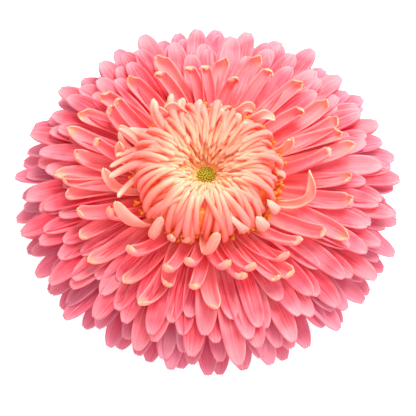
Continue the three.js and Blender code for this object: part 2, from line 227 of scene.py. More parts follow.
class Spine:
    """A floret's midline in millimetres: an upright curve that may sweep round the bloom's axis."""

    STEPS = 60

    def __init__(self, root, tip, root_slope, tip_slope, handles, turn, sweep=0, twist=0):
        self.corners = (
            Vector(root),
            Vector(root) + slope_step(root_slope, handles[0]),
            Vector(tip) - slope_step(tip_slope, handles[1]),
            Vector(tip),
        )
        self.turn, self.sweep, self.twist = turn, sweep, twist
        self.lengths = [0]
        before = self.corners[0]
        for step in range(1, self.STEPS + 1):
            here = self.at(step / self.STEPS)[0]
            self.lengths.append(self.lengths[-1] + (here - before).length)
            before = here

    def at(self, t):
        """The point and the direction at a curve parameter."""
        a, b, c, d = self.corners
        s = 1 - t
        point = a * s**3 + b * 3 * s * s * t + c * 3 * s * t * t + d * t**3
        direction = (b - a) * s * s + (c - b) * 2 * s * t + (d - c) * t * t
        return point, direction.normalized()

    def parameter(self, share):
        """The curve parameter at a share of the spine's length."""
        wanted = share * self.lengths[-1]
        for step in range(self.STEPS):
            if self.lengths[step + 1] >= wanted:
                span = self.lengths[step + 1] - self.lengths[step]
                return (step + (wanted - self.lengths[step]) / span) / self.STEPS
        return 1

    def centre(self, share):
        """The point at a share of the spine's length, and the way out of the face there."""
        flat, slope = self.at(self.parameter(share))
        turn = math.radians(self.turn + self.sweep * share * share)
        outward = Vector((math.cos(turn), math.sin(turn), 0))
        return outward * flat.x + Vector((0, 0, flat.y)), outward * -slope.y + Vector((0, 0, slope.x))

    def station(self, share):
        """Centre, and the ways across, out of the face and forward, at a share of the spine's length."""
        centre, face = self.centre(share)
        ahead = self.centre(min(1, share + SPINE_STEP))[0]
        forward = (ahead - self.centre(max(0, share - SPINE_STEP))[0]).normalized()
        across = face.cross(forward).normalized()
        across.rotate(Quaternion(forward, math.radians(self.twist * share)))
        return centre, across, forward.cross(across), forward


def in_bloom(place):
    """Millimetres from the bloom's axis in the scene's metres, never below what the bloom lies on."""
    return axis_x + place.x * MM, axis_y + place.y * MM, max(0, place.z) * MM


def take_up(*pieces):
    """Selects these pieces alone, the first of them active."""
    start_piece()
    for piece in pieces:
        piece.select_set(True)
    bpy.context.view_layer.objects.active = pieces[0]


def with_traits(piece):
    """Adds the values that the skins read: share of the length, place across and a floret's own tone."""
    for trait in TRAITS:
        piece.data.attributes.new(trait, "FLOAT", "POINT")
    return piece


def mark_traits(mesh, index, *values):
    for trait, value in zip(TRAITS, values):
        mesh.attributes[trait].data[index].value = value


def blade_blank(columns, rows):
    """A flat square blade, from -1 to 1 each way, from which florets and bracts are bent."""
    start_piece()
    bpy.ops.mesh.primitive_grid_add(x_subdivisions=columns, y_subdivisions=rows, size=2)
    return with_traits(bpy.context.object)


def copy_of(blank):
    take_up(blank)
    bpy.ops.object.duplicate()
    return bpy.context.object


def face_relief(relief, x, share, half, phase):
    """How far the waved margin stands above the blade's arc, less the depth of the groove on each side."""
    groove = relief["groove"] * math.sin(math.pi * min(1, abs(x) / GROOVE_SPAN)) ** 2
    wave = relief["wave"] * x * abs(x) * math.sin(WAVE_TURN * share + phase) * share
    return wave - groove * min(1, half) * (1 - share**GROOVE_FADE)


def notch_depth(relief, x, share):
    """How far the end is cut back, in half widths: two dents, and the corners drawn in."""
    last = max(0, 1 - (1 - share) / NOTCH_LENGTH)
    return relief["notch"] * last * (0.5 - 0.5 * math.cos(2 * math.pi * x) + CORNER_CUT * x * x)


def bend_blade(blank, spine, width, outline, roll_table, relief, phase, tone=0):
    """A copy of the blank, narrowed to its outline, rolled across to an arc and bent along its spine."""
    blade = copy_of(blank)
    rows = {}
    for index, vertex in enumerate(blade.data.vertices):
        x, row = vertex.co.x, (vertex.co.y + 1) / 2
        key = round(row, ROW_DIGITS)
        if key not in rows:
            share = 1 - (1 - row) ** ROW_CROWDING
            half = fullness(outline, share) * width / 2
            rows[key] = (share, half, math.radians(at_share(roll_table, share)), *spine.station(share))
        share, half, roll, centre, across, face, forward = rows[key]
        aside = half * math.sin(roll * x) / roll
        rise = half * (1 - math.cos(roll * x)) / roll + face_relief(relief, x, share, half, phase)
        cut_back = notch_depth(relief, x, share) * half
        vertex.co = in_bloom(centre + across * aside + face * rise - forward * cut_back)
        mark_traits(blade.data, index, share, x, tone)
    return blade


def join_pieces(name, members):
    take_up(*members)
    bpy.ops.object.join()
    whole = bpy.context.object
    whole.name = name
    return whole


def apply_modifier(piece, name, kind, **settings):
    modifier = piece.modifiers.new(name, kind)
    for setting, value in settings.items():
        setattr(modifier, setting, value)
    bpy.ops.object.modifier_apply(modifier=name)


def thicken(piece, thickness):
    """Gives thin blades their thickness below the face that was modelled."""
    take_up(piece)
    apply_modifier(piece, "blade thickness", "SOLIDIFY", thickness=thickness * MM, offset=-1)
    bpy.ops.object.shade_smooth()


def lathe_ring(name, profile, segments):
    """A closed ring or core turned about the bloom's axis from a profile of radius and height."""
    start_piece()
    bpy.ops.mesh.primitive_circle_add(vertices=len(profile), radius=1, fill_type="NOTHING")
    ring = bpy.context.object
    ring.name = name
    for vertex, (radius, height) in zip(ring.data.vertices, profile):
        vertex.co = (radius * MM, 0, height * MM)
    bpy.ops.object.mode_set(mode="EDIT")
    bpy.ops.mesh.select_all(action="SELECT")
    bpy.ops.mesh.spin(steps=segments, angle=2 * math.pi, center=(0, 0, 0), axis=(0, 0, 1))
    bpy.ops.mesh.select_all(action="SELECT")
    bpy.ops.mesh.remove_doubles(threshold=WELD_GAP * MM)
    bpy.ops.mesh.normals_make_consistent(inside=False)
    bpy.ops.object.mode_set(mode="OBJECT")
    ring.location = (axis_x, axis_y, 0)
    bpy.ops.object.transform_apply(location=True)
    bpy.ops.object.shade_smooth_by_angle(angle=RING_CREASE)
    return with_traits(ring)


bract_blank = blade_blank(*BRACT_GRID)
bract_blades = []
bract_margins = []
for bract_row in BRACT_ROWS:
    for number in range(bract_row["count"]):
        bract_spine = Spine(
            root=(BRACT_ROOT["radius"], bract_row["root_height"]),
            tip=(bract_row["tip_radius"], bract_row["tip_height"]),
            root_slope=BRACT_ROOT["slope"],
            tip_slope=bract_row["droop"],
            handles=(BRACT_ROOT["handle"], BRACT_ROOT["handle"]),
            turn=bract_row["offset"] + number * 360 / bract_row["count"],
        )
        bract_margins.append((bract_spine, bract_row["width"]))
        bract_form = (bract_row["width"], BRACT_OUTLINE, BRACT_ROLL, BRACT_RELIEF)
        bract_blades.append(bend_blade(bract_blank, bract_spine, *bract_form, phase=2 * number))
bracts = join_pieces("bract_leaves", bract_blades)
thicken(bracts, BRACT_THICKNESS)
bracts = join_pieces("bracts_involucre", [bracts, lathe_ring("bract_collar", BRACT_COLLAR, COLLAR_SIDES)])
bpy.data.objects.remove(bract_blank)
dress(bracts, "bracts", leafy_green("bract_green", BRACT_GREENS, BRACT_MOTTLE))


# Hairs: the short pale hairs along the bracts' margins, and the down on the stem. Each is a thin cone, and a
# tuft is one cone repeated, each copy then moved to its foot and turned to its way.
HAIR = {"sides": 3, "radius": 0.05, "length": 0.7, "stray": 0.2}
HAIR_SEED = 29
HAIR_GREENS = ((0.42, 0.5, 0.26), (0.62, 0.68, 0.44))
HAIR_MOTTLE = 600
FRINGE = {"hairs": 22, "from": 0.2, "to": 0.97, "margin": 0.47, "forward": (0.5, 0.4), "up": 0.5}
DOWN = {"hairs": 240, "low": 0.5, "high": 6.2, "sunk": 0.1, "up": (0.3, 0.3)}
GOLDEN_ANGLE = 180 * (3 - math.sqrt(5))


def draws_from(seed):
    """Repeatable draws, worked out as in the solid model, so that its seeds give its florets here too."""
    modulus = 2147483647
    multiplier = 16807
    state = seed

    def draw(spread):
        nonlocal state
        state = state * multiplier % modulus
        return spread * (2 * state / modulus - 1)

    return draw


def hair_tuft(name, hairs):
    """Hairs in one mesh, each given by its foot, its way and its length."""
    start_piece()
    bpy.ops.mesh.primitive_cone_add(
        vertices=HAIR["sides"], radius1=HAIR["radius"], depth=1, location=(0, 0, 0.5)
    )
    tuft = bpy.context.object
    tuft.name = name
    bpy.ops.object.transform_apply(location=True)
    cone = [vertex.co.copy() for vertex in tuft.data.vertices]
    apply_modifier(tuft, "one for each hair", "ARRAY", count=len(hairs))
    for index, vertex in enumerate(tuft.data.vertices):
        foot, way, length = hairs[index // len(cone)]
        local = cone[index % len(cone)]
        stretched = Vector((local.x, local.y, local.z * length))
        vertex.co = in_bloom(foot + way.to_track_quat("Z", "Y") @ stretched)
    return tuft


hair_draw = draws_from(HAIR_SEED)
fringe = []
for bract_spine, bract_width in bract_margins:
    for number in range(FRINGE["hairs"]):
        share = FRINGE["from"] + (FRINGE["to"] - FRINGE["from"]) * number / (FRINGE["hairs"] - 1)
        centre, across, face, forward = bract_spine.station(share)
        for side in (-1, 1):
            foot = centre + across * (side * FRINGE["margin"] * bract_width * fullness(BRACT_OUTLINE, share))
            ahead = FRINGE["forward"][0] + hair_draw(FRINGE["forward"][1])
            way = across * side + forward * ahead + face * hair_draw(FRINGE["up"])
            fringe.append((foot, way, HAIR["length"] + hair_draw(HAIR["stray"])))
down = []
stem_profile = [(ring_height, ring_radius) for ring_radius, ring_height in STEM_RINGS]
for number in range(DOWN["hairs"]):
    turn = math.radians(number * GOLDEN_ANGLE)
    height = DOWN["low"] + (DOWN["high"] - DOWN["low"]) * number / DOWN["hairs"]
    outward = Vector((math.cos(turn), math.sin(turn), 0))
    foot = outward * (at_share(stem_profile, height) - DOWN["sunk"]) + Vector((0, 0, height))
    way = outward + Vector((0, 0, DOWN["up"][0] + hair_draw(DOWN["up"][1])))
    down.append((foot, way, HAIR["length"] + hair_draw(HAIR["stray"])))
for tuft_name, hairs, carrier in (("bract_fringe", fringe, "bracts"), ("stem_down", down, "stem")):
    dress(hair_tuft(tuft_name, hairs), carrier, leafy_green(f"{tuft_name}_pale", HAIR_GREENS, HAIR_MOTTLE))


# Outer rays: the lowest ray florets, thin lilac-pink straps that spread from the receptacle and droop to the
# surface, with two grooves and a blunt, faintly notched tip. They leave the receptacle a golden angle apart,
# with a second set between the first, and each is bent along its own spine and given its thickness.
RAY_SEED = 1907
BETWEEN_SEED = 2203
SHADE_SEED = 77
RAY_HANDLE = 0.38
LEAN = {"direction": 50, "reach": 1.1}
RAY_SPREAD = {"turn": 1.5, "reach": 0.8, "height": 0.35, "slope": 6, "sweep": 2, "twist": 6, "width": 0.06}
PHASE_SPREAD = 3
RAY_GRID = (8, 20)
RAY_ROLL = [(0, 24), (0.42, 40), (0.8, 38), (1, 24)]
RAY_OUTLINE = {"claw": 0.5, "widest": 0.64, "taper": 3.1}
RAY_RELIEF = {"groove": 0.2, "wave": 0.2, "notch": 0.35}
RAY_THICKNESS = 0.32
DISC_RADIUS = 12.5
DISC_SIDES = 40
NEAR_AXIS = 0.02
BETWEEN_TURN = 4.7
OUTER_TIER = {
    "florets": 55,
    "disc": (8.5, 10.6),
    "root_radius": (11, 11),
    "root_height": (9.2, 10.3),
    "tip_radius": (43.5, 46.8),
    "tip_height": (0, 6.2),
    "root_slope": (4, 8),
    "tip_slope": (-34, -18),
    "width": (6.1, 6.0),
}
OUTER_BETWEEN = {
    "florets": 55,
    "root_radius": (11, 11),
    "root_height": (10.6, 11.6),
    "tip_radius": (45.2, 43.2),
    "tip_height": (4.4, 8.6),
    "root_slope": (6, 8),
    "tip_slope": (-26, -15),
    "width": (5.9, 5.7),
}
OUTER_PETAL = {
    # The dark root is partly the rays' own colour and partly painted shade under the tiers above.
    "length": [
        (0, (220, 30, 46)), (0.5, (214, 38, 64)), (0.78, (206, 62, 90)), (0.92, (212, 116, 138)),
        (1, (224, 160, 176)),
    ],
    "veins": (214, 60, 92),
    "pale": (232, 162, 180),
    # The rim is partly the paler margin and partly a painted highlight.
    "rim": (234, 166, 184),
    "margin_and_highlight_share": 0.2,
    "see_through": 0.34,
    # Painted glow that warms the shade among the outer rays.
    "painted_glow": (255, 110, 160),
    "glow_strength": 0.09,
}
PETAL_VEINS = {"lanes": 9, "dark": ((0.46, 0.68), (0, 0.7)), "light": ((0.45, 0.28), (0, 0.65))}
PETAL_PATCHES = {"scale": 130, "by_tone": ((-1, 1), (-0.2, 0.16)), "light": ((0.44, 0.7), (0, 0.5))}
# Where the light rim starts across the petal: paler margin and painted highlight together.
PETAL_MARGIN_AND_HIGHLIGHT = (0.35, 1)
VEIN_NOISE = {"along": 1.2, "tone": 31, "scale": 1.6, "detail": 3}
TISSUE = {
    "Roughness": 0.55,
    "Specular IOR Level": 0.3,
    "Sheen Weight": 0.1,
    "Sheen Roughness": 0.5,
    "Subsurface Weight": 0.3,
    "Subsurface Radius": (1.2, 0.4, 0.25),
    "Subsurface Scale": 0.8 * MM,
}
TISSUE_RELIEF = {"Strength": 0.3, "Distance": 0.2 * MM}


def along(values, share):
    """The value a share of the way along a list of evenly spaced values."""
    place = share * (len(values) - 1)
    before = min(int(place), len(values) - 2)
    return values[before] + (values[before + 1] - values[before]) * (place - before)


def ray_spine(root, tip, root_slope, tip_slope, turn, sweep, draw, tip_handle=RAY_HANDLE, loose=1):
    """A ray's spine with its own draws, taken in the solid model's order."""
    span = (Vector(root) - Vector(tip)).length
    lean = LEAN["reach"] * math.cos(math.radians(turn - LEAN["direction"]))
    reach = tip[0] + lean + draw(RAY_SPREAD["reach"])
    height = max(0, tip[1] + draw(RAY_SPREAD["height"]))
    tip_slope += loose * draw(RAY_SPREAD["slope"])
    turn += draw(RAY_SPREAD["turn"])
    sweep += draw(RAY_SPREAD["sweep"])
    twist = loose * draw(RAY_SPREAD["twist"])
    handles = (RAY_HANDLE * span, tip_handle * span)
    return Spine(root, (reach, height), root_slope, tip_slope, handles, turn, sweep, twist)


def ray_blade(spine, width, draw, outline=RAY_OUTLINE, roll_table=RAY_ROLL):
    width *= 1 + draw(RAY_SPREAD["width"])
    tone, phase = shade_draw(1), shade_draw(PHASE_SPREAD)
    return bend_blade(ray_blank, spine, width, outline, roll_table, RAY_RELIEF, phase, tone)


def spiral_tier(tier, first_turn, draw):
    """Rays a golden angle apart, each a little higher, longer or shorter than the one before."""
    rays = []
    for number in range(tier["florets"]):
        share = number / (tier["florets"] - 1)
        spine = ray_spine(
            root=(along(tier["root_radius"], share), along(tier["root_height"], share)),
            tip=(along(tier["tip_radius"], share), along(tier["tip_height"], share)),
            root_slope=along(tier["root_slope"], share),
            tip_slope=along(tier["tip_slope"], share),
            turn=first_turn + number * GOLDEN_ANGLE,
            sweep=0,
            draw=draw,
        )
        rays.append(ray_blade(spine, along(tier["width"], share), draw))
    return rays


def ray_tier(name, blades, disc):
    """A tier's blades, thickened and joined to the disc of the receptacle that carries them."""
    tier = join_pieces(name, blades)
    thicken(tier, RAY_THICKNESS)
    bottom, top = disc
    profile = [(NEAR_AXIS, bottom), (DISC_RADIUS, bottom), (DISC_RADIUS, top), (NEAR_AXIS, top)]
    return join_pieces(name, [tier, lathe_ring("tier_disc", profile, DISC_SIDES)])


def seen(*levels):
    """A colour as the eye sees it, 0 to 255 a channel, in the linear values that shaders take."""
    return tuple(((level / 255 + 0.055) / 1.055) ** 2.4 for level in levels)


def seen_stops(stops):
    return [(place, seen(*levels)) for place, levels in stops]


def trait_of(tree, name):
    return add_node(tree, "Attribute", {}, "Fac", attribute_name=name)


def mapped(tree, value, band, onto):
    """A value moved from one band onto another, and kept inside it."""
    ends = {"From Min": band[0], "From Max": band[1], "To Min": onto[0], "To Max": onto[1]}
    return add_node(tree, "MapRange", {"Value": value, **ends})


def maths(tree, operation, first, second=0):
    return add_node(tree, "Math", {0: first, 1: second}, operation=operation)


def tinted(tree, colour, tint, share):
    """A colour mixed with a tint, given as the eye sees it, by a share."""
    mixed = {"Factor": share, "A": colour, "B": (*seen(*tint), 1)}
    return add_node(tree, "Mix", mixed, "Result", data_type="RGBA")


def vein_noise(tree, lanes):
    """Fine unevenness drawn out along a floret, different on each one."""
    lane = {
        "X": maths(tree, "MULTIPLY", trait_of(tree, "across"), lanes),
        "Y": maths(tree, "MULTIPLY", trait_of(tree, "along"), VEIN_NOISE["along"]),
        "Z": maths(tree, "MULTIPLY", trait_of(tree, "tone"), VEIN_NOISE["tone"]),
    }
    place = add_node(tree, "CombineXYZ", lane)
    noise = {"Vector": place, "Scale": VEIN_NOISE["scale"], "Detail": VEIN_NOISE["detail"]}
    return add_node(tree, "TexNoise", noise, "Fac")


def thin_tissue(tree, colour, relief, see_through, painted_glow, glow_strength):
    """Petal tissue: soft, faintly silky and letting some light through, with a painted glow that warms its
    shade.
    """
    normal = add_node(tree, "Bump", {"Height": relief, **TISSUE_RELIEF})
    # Painted glow: the tissue gives off a faint light of its own, so that its shade reads warm instead of
    # grey.
    light = {"Emission Color": (*seen(*painted_glow), 1), "Emission Strength": glow_strength}
    skin = add_node(tree, "BsdfPrincipled", {"Base Color": colour, "Normal": normal, **TISSUE, **light})
    through = add_node(tree, "BsdfTranslucent", {"Color": colour, "Normal": normal})
    finish_surface(tree, add_node(tree, "MixShader", {"Fac": see_through, 1: skin, 2: through}))


def petal_skin(name, petal):
    """A ray floret's skin: colour from root to tip, darker veins, paler florets and a light rim, partly the
    paler margin and partly a painted highlight.
    """
    material, tree = bare_material(name)
    veins = vein_noise(tree, PETAL_VEINS["lanes"])
    colour = colour_ramp(tree, trait_of(tree, "along"), seen_stops(petal["length"]))
    colour = tinted(tree, colour, petal["veins"], mapped(tree, veins, *PETAL_VEINS["dark"]))
    colour = tinted(tree, colour, petal["pale"], mapped(tree, veins, *PETAL_VEINS["light"]))
    paleness = mapped(tree, trait_of(tree, "tone"), *PETAL_PATCHES["by_tone"])
    patches = maths(tree, "ADD", cloudy(tree, PETAL_PATCHES["scale"]), paleness)
    colour = tinted(tree, colour, petal["pale"], mapped(tree, patches, *PETAL_PATCHES["light"]))
    # The light rim: partly the petal's own paler margin and partly a painted highlight along the edge.
    edge = maths(tree, "ABSOLUTE", trait_of(tree, "across"))
    colour = tinted(tree, colour, petal["rim"], mapped(tree, edge, PETAL_MARGIN_AND_HIGHLIGHT, (0, petal["margin_and_highlight_share"])))
    thin_tissue(tree, colour, veins, petal["see_through"], petal["painted_glow"], petal["glow_strength"])
    return material


ray_draw = draws_from(RAY_SEED)
between_draw = draws_from(BETWEEN_SEED)
shade_draw = draws_from(SHADE_SEED)
ray_blank = blade_blank(*RAY_GRID)
outer_blades = spiral_tier(OUTER_TIER, 0, ray_draw) + spiral_tier(OUTER_BETWEEN, BETWEEN_TURN, between_draw)
outer_rays = ray_tier("outer_ray_florets", outer_blades, OUTER_TIER["disc"])
dress(outer_rays, "outer_rays", petal_skin("lilac_pink_petal", OUTER_PETAL))


# Middle rays: the broad pink ray florets that make most of the face, laid over the outer ones by the same
# spiral. They are flatter and clearer pink, and deep coral towards their roots, partly their own colour and
# partly painted shade from the cushion over them.
MIDDLE_TIER = {
    "florets": 55,
    "disc": (11.0, 13.1),
    "root_radius": (10.5, 10.5),
    "root_height": (11.9, 12.6),
    "tip_radius": (46.4, 38.5),
    "tip_height": (8.2, 11.7),
    "root_slope": (8, 7),
    "tip_slope": (-18, -10),
    "width": (6.1, 5.8),
}
MIDDLE_BETWEEN = {
    "florets": 55,
    "root_radius": (10.5, 10.5),
    "root_height": (12.7, 13.6),
    "tip_radius": (41.8, 34.5),
    "tip_height": (11.0, 13.4),
    "root_slope": (9, 9),
    "tip_slope": (-14, -6),
    "width": (5.7, 5.2),
}
MIDDLE_PETAL = {
    # The deep coral root is partly the rays' own colour and partly painted shade where the cushion covers
    # them.
    "length": [
        (0, (242, 44, 46)), (0.45, (244, 54, 70)), (0.72, (232, 50, 74)), (0.88, (232, 84, 106)),
        (1, (246, 160, 172)),
    ],
    "veins": (236, 46, 74),
    "pale": (250, 160, 172),
    # The rim is partly the paler margin and partly a painted highlight.
    "rim": (250, 162, 174),
    "margin_and_highlight_share": 0.16,
    "see_through": 0.24,
    # Painted glow that warms the shade among the middle rays.
    "painted_glow": (255, 30, 60),
    "glow_strength": 0.04,
}

middle_turn = OUTER_TIER["florets"] * GOLDEN_ANGLE
middle_blades = spiral_tier(MIDDLE_TIER, middle_turn, ray_draw)
middle_blades += spiral_tier(MIDDLE_BETWEEN, middle_turn + BETWEEN_TURN, between_draw)
middle_rays = ray_tier("middle_ray_florets", middle_blades, MIDDLE_TIER["disc"])
dress(middle_rays, "middle_rays", petal_skin("clear_pink_petal", MIDDLE_PETAL))


# Inner rays: narrower coral ray florets nearest the cushion. The shorter they are, the more they are rolled
# to boats and tubes whose blunt cream tips stand up and turn back, as on florets half way to quills. Each is
# (turn of the tip, reach, sweep round the axis).
INNER_TIER = {
    "disc": (13.4, 15.5),
    "root": (10, 14.6),
    "root_slope": 13,
    "reach": (37.5, 24),
    "tip_height": (15.1, 16.9, 18.4, 19.8, 21.0),
    "tip_slope": (40, 100, 132, 146, 154),
    "tip_handle": (0.2, 0.22, 0.28, 0.36, 0.46),
    "loose": 3,
    "width": (5.5, 5.4, 5.2, 4.9, 4.5),
}
INNER_FLORETS = [
    (3, 34.5, 4), (13, 27.4, 9), (15, 35.6, 5), (20, 32.9, -4), (28, 34, 6), (36, 27.6, -6), (38, 34.6, 3),
    (49, 32.7, -5), (60, 30, -6), (67, 35, -8), (74, 25.4, -7), (82, 33, -5), (91, 26.4, 5), (100, 26.4, 10),
    (107, 34.5, 5), (115, 27.4, 11), (126, 33.5, 6), (136, 27.7, -6), (139, 33, 4), (144, 29, -7),
    (150, 35.3, 5), (156, 36, -4), (159, 27.3, -9), (168, 32.5, -5), (177, 36.6, 3), (182, 34, -4),
    (189, 34.4, 5), (197, 31.5, -7), (204, 25, -10), (208, 34, 4), (217, 36, -4), (226, 27.3, -16),
    (237, 34.5, -5), (245, 36.4, -6), (247, 26.7, -10), (253, 30.7, 3), (260, 25, -9), (267, 29.1, -4),
    (275, 34.5, 7), (283, 25.2, 13), (289, 28.5, 12), (297, 26.4, 14), (303, 31, 8), (310, 32.4, 10),
    (313, 28.3, 14), (320, 27.4, 12), (331, 30.6, 6), (337, 37, -3), (353, 34.5, 6),
]
STRAP_OUTLINE = {"claw": 0.4, "widest": 0.7, "taper": 4.6}
BOAT_OUTLINE = {"claw": 0.5, "widest": 0.64, "taper": 9}
INNER_ROLL_SHARES = (0, 0.45, 0.82, 1)
STRAP_ROLL = (26, 42, 56, 76)
BOAT_ROLL = (40, 84, 112, 116)
INNER_PETAL = {
    # The orange root is partly the florets' own colour and partly painted shade by the cushion.
    "length": [
        (0, (250, 96, 56)), (0.3, (252, 90, 84)), (0.6, (250, 106, 122)), (0.86, (250, 138, 148)),
        (0.92, (252, 164, 150)), (0.96, (238, 188, 152)),
    ],
    "veins": (252, 86, 92),
    "pale": (254, 160, 158),
    # The rim is partly the paler margin and partly a painted highlight.
    "rim": (254, 150, 146),
    "margin_and_highlight_share": 0.16,
    "see_through": 0.24,
    # Painted glow that warms the shade among the inner rays.
    "painted_glow": (255, 30, 40),
    "glow_strength": 0.04,
}


def between(first, second, share):
    return first + (second - first) * share


def inner_blade(spine, width, share, draw):
    """The shorter the floret, the more it is a rolled boat with a blunt end instead of a strap."""
    outline = {name: between(STRAP_OUTLINE[name], BOAT_OUTLINE[name], share) for name in STRAP_OUTLINE}
    angles = [between(strap, boat, share) for strap, boat in zip(STRAP_ROLL, BOAT_ROLL)]
    return ray_blade(spine, width, draw, outline, list(zip(INNER_ROLL_SHARES, angles)))


inner_blades = []
longest, shortest = INNER_TIER["reach"]
for floret_turn, floret_reach, floret_sweep in INNER_FLORETS:
    inner_share = (longest - floret_reach) / (longest - shortest)
    inner_spine = ray_spine(
        root=INNER_TIER["root"],
        tip=(floret_reach, along(INNER_TIER["tip_height"], inner_share)),
        root_slope=INNER_TIER["root_slope"],
        tip_slope=along(INNER_TIER["tip_slope"], inner_share),
        turn=floret_turn - floret_sweep,
        sweep=floret_sweep,
        draw=ray_draw,
        tip_handle=along(INNER_TIER["tip_handle"], inner_share),
        loose=INNER_TIER["loose"],
    )
    inner_width = along(INNER_TIER["width"], inner_share)
    inner_blades.append(inner_blade(inner_spine, inner_width, inner_share, ray_draw))
inner_rays = ray_tier("inner_ray_florets", inner_blades, INNER_TIER["disc"])
dress(inner_rays, "inner_rays", petal_skin("coral_cream_petal", INNER_PETAL))


# Quilled florets: the cushion of tubular florets that rise from the receptacle, bulge out and arch back in
# towards the eye, coral outside and cream over the top, with a rounded tip. Finer ones fill in between, and
# blunt ones lean out over the rear and left edge. The receptacle that carries them shows orange in the gaps.
QUILL_SEED = 433
QUILL_SPREAD = {"turn": 4, "reach": 0.8, "height": 0.45, "slope": 9, "sweep": 13, "width": 0.12}
QUILLS = {
    "florets": 90,
    "root_radius": (3.6, 5.6, 9.0, 13.8),
    "root_height": (16.8, 17.4, 17.8, 17.4),
    "tip_radius": (3.7, 4.5, 6.4, 9.4),
    "tip_height": (18.4, 20.0, 22.4, 24.2),
    "root_slope": (80, 62, 48, 34),
    "tip_slope": (150, 186, 194, 198),
    "root_handle": (0.6, 2.0, 4.2, 7.0),
    "tip_handle": (0.6, 3.0, 6.0, 9.2),
    "width": (1.0, 1.2, 1.6, 1.95),
}
FINE_SEED = 617
FINE_TURN = 71
FINE_SPREAD = {"turn": 5, "reach": 1.5, "height": 0.6, "slope": 9, "sweep": 20, "width": 0.16}
FINE_QUILLS = {
    "florets": 400,
    "root_radius": (4.6, 6.6, 9.8, 14.6),
    "root_height": (16.8, 17.4, 17.8, 17.2),
    "tip_radius": (2.2, 3.0, 5.2, 7.8),
    "tip_height": (17.8, 18.9, 21.0, 22.9),
    "root_slope": (80, 66, 50, 34),
    "tip_slope": (204, 206, 208, 210),
    "root_handle": (1.2, 2.4, 4.2, 6.0),
    "tip_handle": (1.6, 3.4, 6.0, 8.8),
    "width": (0.64, 0.9, 1.25, 1.55),
}
FRONT_QUILLS = {"reach": 2.4, "drop": 0.5}
STANDING_SEED = 59
STANDING_QUILLS = {
    "places": 64,
    "middle": 118,
    "half_span": 72,
    "left_reach": 7.2,
    "left_drop": 1.8,
    "handles": (0.4, 0.35),
    "drawn": {
        "root_radius": (9.4, 1.0),
        "root_height": (21.4, 0.4),
        "tip_radius": (15.2, 1.4),
        "tip_height": (24.3, 0.8),
        "root_slope": (46, 10),
        "tip_slope": (16, 40),
        "sweep": (0, 18),
        "width": (2.2, 0.35),
    },
}
QUILL_GRID = (8, 14)
QUILL_SECTION = {"wide": 0.98, "deep": 0.66, "sunk": 0.2}
QUILL_BODY = {"rows": 0.7, "length": 0.88, "foot": 0.7, "swell": 0.9}
QUILL_TIP = {"width": 0.72, "bow": math.radians(86)}
QUILL_CORE = [
    (NEAR_AXIS, 15.8), (12.2, 15.8), (14.8, 17.0), (15.6, 19.4), (15.0, 21.6), (12.8, 22.9),
    (9.8, 22.0), (6.2, 19.8), (3.2, 17.5), (NEAR_AXIS, 17.2),
]
CORE_SIDES = 64
CUSHION_RADIUS = 18
QUILL_COLOURS = [
    (0.17, (222, 172, 36)), (0.27, (244, 188, 94)), (0.42, (252, 188, 144)), (0.66, (250, 172, 152)),
    (0.9, (248, 164, 160)),
]
QUILL_LANES = 3
# How much of the sides' painted shade each quill gets, from the eye outwards.
QUILL_SIDE_SHADE = ((0.1, 0.5), (0.75, 1))
QUILL_TINTS_AND_PAINTED_SHADE = {
    # The coral foot is partly the quills' own colour and partly painted shade in the gaps between them.
    "foot": ((250, 148, 140), (0.15, 0.6), (0.85, 0)),
    "blush": ((252, 146, 128), (-0.2, 1), (0, 0.4)),
    "veins": ((250, 140, 122), (0.46, 0.66), (0, 0.6)),
    # The coral sides are painted shade, where each tube turns away from the light.
    "sides": ((246, 116, 84), (0.55, 1), (0, 0.75)),
    # The pale tip is partly the quills' own cream and partly a painted highlight over the crest.
    "tip": ((253, 210, 188), (0.72, 0.96), (0, 0.8)),
}
# The quills' glow is painted light: it turns the shade in the gaps orange.
QUILL_SEE_THROUGH_AND_PAINTED_GLOW = {"see_through": 0.4, "painted_glow": (255, 96, 24), "glow_strength": 0.11}
CORE_COLOURS = [(0.3, (244, 104, 40)), (0.7, (254, 156, 66))]
CORE_BY_EYE = {"colour": (250, 190, 96), "distance": (3, 12)}
CORE_PITS = 900
# The receptacle's glow is painted light: it warms the shade deep in the gaps.
CORE_SEE_THROUGH_AND_PAINTED_GLOW = {"see_through": 0.2, "painted_glow": (255, 110, 20), "glow_strength": 0.14}


def quill_blank_tube(sides, rings):
    """A tube, one unit long, from which quills are bent."""
    start_piece()
    bpy.ops.mesh.primitive_cylinder_add(
        vertices=sides, radius=1, depth=1, end_fill_type="TRIFAN", location=(0, 0, 0.5)
    )
    bpy.ops.object.transform_apply(location=True)
    bpy.ops.object.mode_set(mode="EDIT")
    for ring in range(1, rings):
        bpy.ops.mesh.select_all(action="SELECT")
        bpy.ops.mesh.bisect(plane_co=(0, 0, ring / rings), plane_no=(0, 0, 1))
    bpy.ops.object.mode_set(mode="OBJECT")
    return with_traits(bpy.context.object)


def quill_outline(row):
    """Share of the length and of the width at a row of the tube, which ends in a round tip."""
    rows, length, foot = QUILL_BODY["rows"], QUILL_BODY["length"], QUILL_BODY["foot"]
    if row <= rows:
        share = length * row / rows
        return share, foot + (1 - foot) * math.sin(math.pi * min(1, share / QUILL_BODY["swell"]))
    bow = (row - rows) / (1 - rows) * QUILL_TIP["bow"]
    return length + (1 - length) * math.sin(bow), QUILL_TIP["width"] * math.cos(bow)


